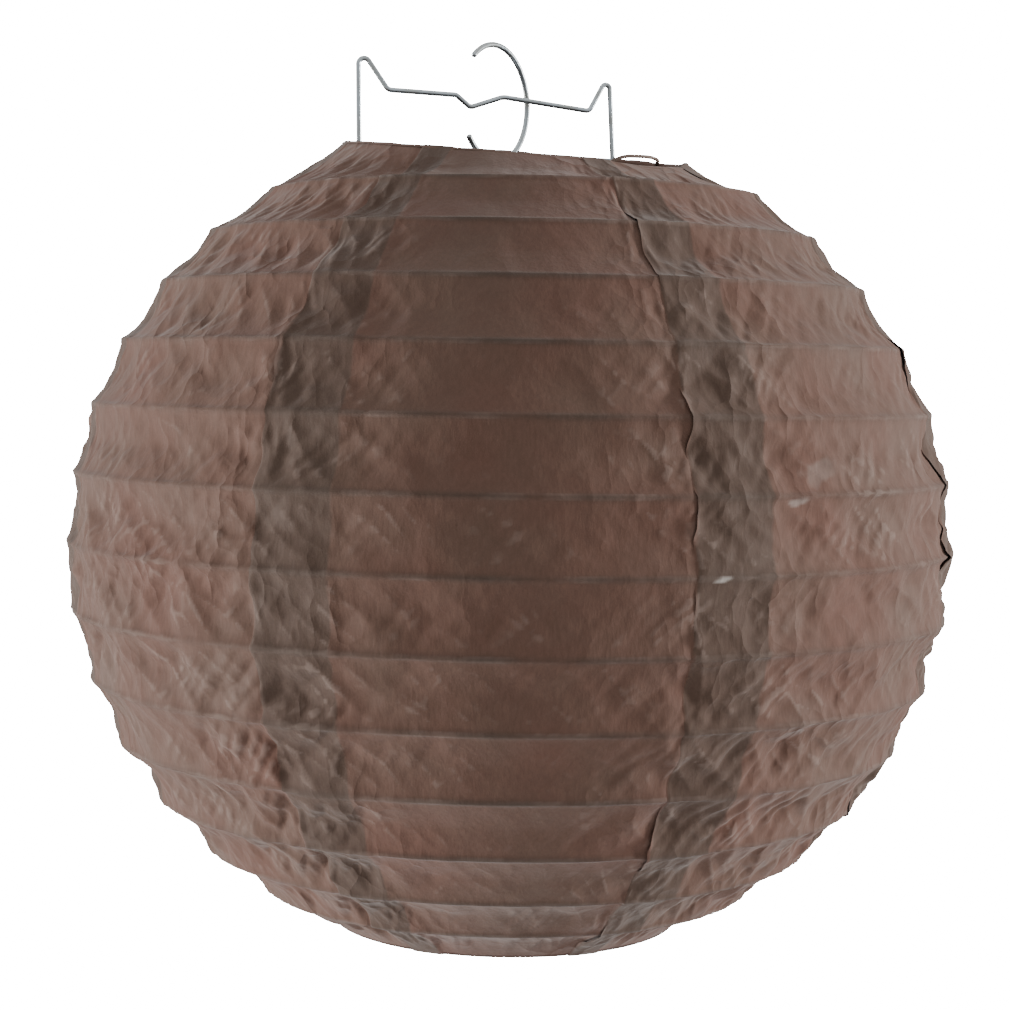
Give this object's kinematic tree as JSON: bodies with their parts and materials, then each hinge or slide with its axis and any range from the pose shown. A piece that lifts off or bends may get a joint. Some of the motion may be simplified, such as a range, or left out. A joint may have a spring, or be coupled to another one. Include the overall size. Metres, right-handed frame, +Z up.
{
  "type": "paper lantern",
  "caption": "Round brown paper lantern with wire rib hoops, lapped paper gores and a wire expander, hung from an open wire hook.",
  "frame": {"origin": "the hanging point: the inside of the wire hook's top, where it rests on whatever carries it", "axes": "+Z up, +X along the expander's top bar towards its lower hump, so that the expander stands in the XZ plane; the lantern's own axis is parallel to Z at x = 7.5 mm"},
  "size_m": [0.2996, 0.2996, 0.3004],
  "materials": {
    "gore_paper": "matte",
    "hem_paper": "matte",
    "expander_zinc": "satin",
    "hook_wire": "satin",
    "ring_wire": "satin",
    "rib_wire": "satin",
    "wrapped_wire": "satin"
  },
  "bodies": {
    "hook": {"hanging_hook": "hook_wire"},
    "frame": {"expander_wire": "expander_zinc", "expander_crossbar": "expander_zinc", "bottom_ring": "ring_wire", "bottom_hem": "hem_paper", "gore_1": "gore_paper", "gore_2": "gore_paper", "gore_3": "gore_paper", "gore_4": "gore_paper", "gore_5": "gore_paper", "gore_6": "gore_paper", "gore_7": "gore_paper"},
    "top": {"top_ring": "ring_wire", "top_ring_loop": "wrapped_wire", "top_hem": "hem_paper"},
    "rib_01": {"rib_01": "rib_wire"},
    "rib_02": {"rib_02": "rib_wire"},
    "rib_03": {"rib_03": "rib_wire"},
    "rib_04": {"rib_04": "rib_wire"},
    "rib_05": {"rib_05": "rib_wire"},
    "rib_06": {"rib_06": "rib_wire"},
    "rib_07": {"rib_07": "rib_wire"},
    "rib_08": {"rib_08": "rib_wire"},
    "rib_09": {"rib_09": "rib_wire"},
    "rib_10": {"rib_10": "rib_wire"},
    "rib_11": {"rib_11": "rib_wire"},
    "rib_12": {"rib_12": "rib_wire"},
    "rib_13": {"rib_13": "rib_wire"}
  },
  "joints": [
    {"name": "lantern_swing", "type": "hinge", "parent": "hook", "child": "frame", "pos_m": [0.0075, 0, -0.03635], "axis": [1, 0, 0], "range_deg": [-18, 18]},
    {"name": "collapse", "type": "slide", "parent": "frame", "child": "top", "axis": [0, 0, -1], "range_m": [0, 0.238], "deforming": ["gore_1", "gore_2", "gore_3", "gore_4", "gore_5", "gore_6", "gore_7"]},
    {"name": "rib_01_fold", "type": "slide", "parent": "frame", "child": "rib_01", "axis": [0, 0, -1], "range_m": [0, 0.01135]},
    {"name": "rib_02_fold", "type": "slide", "parent": "frame", "child": "rib_02", "axis": [0, 0, -1], "range_m": [0, 0.02448]},
    {"name": "rib_03_fold", "type": "slide", "parent": "frame", "child": "rib_03", "axis": [0, 0, -1], "range_m": [0, 0.04016]},
    {"name": "rib_04_fold", "type": "slide", "parent": "frame", "child": "rib_04", "axis": [0, 0, -1], "range_m": [0, 0.05795]},
    {"name": "rib_05_fold", "type": "slide", "parent": "frame", "child": "rib_05", "axis": [0, 0, -1], "range_m": [0, 0.07737]},
    {"name": "rib_06_fold", "type": "slide", "parent": "frame", "child": "rib_06", "axis": [0, 0, -1], "range_m": [0, 0.09791]},
    {"name": "rib_07_fold", "type": "slide", "parent": "frame", "child": "rib_07", "axis": [0, 0, -1], "range_m": [0, 0.11901]},
    {"name": "rib_08_fold", "type": "slide", "parent": "frame", "child": "rib_08", "axis": [0, 0, -1], "range_m": [0, 0.14012]},
    {"name": "rib_09_fold", "type": "slide", "parent": "frame", "child": "rib_09", "axis": [0, 0, -1], "range_m": [0, 0.16066]},
    {"name": "rib_10_fold", "type": "slide", "parent": "frame", "child": "rib_10", "axis": [0, 0, -1], "range_m": [0, 0.18008]},
    {"name": "rib_11_fold", "type": "slide", "parent": "frame", "child": "rib_11", "axis": [0, 0, -1], "range_m": [0, 0.19787]},
    {"name": "rib_12_fold", "type": "slide", "parent": "frame", "child": "rib_12", "axis": [0, 0, -1], "range_m": [0, 0.21355]},
    {"name": "rib_13_fold", "type": "slide", "parent": "frame", "child": "rib_13", "axis": [0, 0, -1], "range_m": [0, 0.22668]}
  ],
  "couplings": [
    {"joint": "rib_01_fold", "follows": "collapse", "ratio": 0.04761},
    {"joint": "rib_02_fold", "follows": "collapse", "ratio": 0.10281},
    {"joint": "rib_03_fold", "follows": "collapse", "ratio": 0.16867},
    {"joint": "rib_04_fold", "follows": "collapse", "ratio": 0.24341},
    {"joint": "rib_05_fold", "follows": "collapse", "ratio": 0.32502},
    {"joint": "rib_06_fold", "follows": "collapse", "ratio": 0.41133},
    {"joint": "rib_07_fold", "follows": "collapse", "ratio": 0.5},
    {"joint": "rib_08_fold", "follows": "collapse", "ratio": 0.58867},
    {"joint": "rib_09_fold", "follows": "collapse", "ratio": 0.67498},
    {"joint": "rib_10_fold", "follows": "collapse", "ratio": 0.75659},
    {"joint": "rib_11_fold", "follows": "collapse", "ratio": 0.83133},
    {"joint": "rib_12_fold", "follows": "collapse", "ratio": 0.89719},
    {"joint": "rib_13_fold", "follows": "collapse", "ratio": 0.95239}
  ]
}
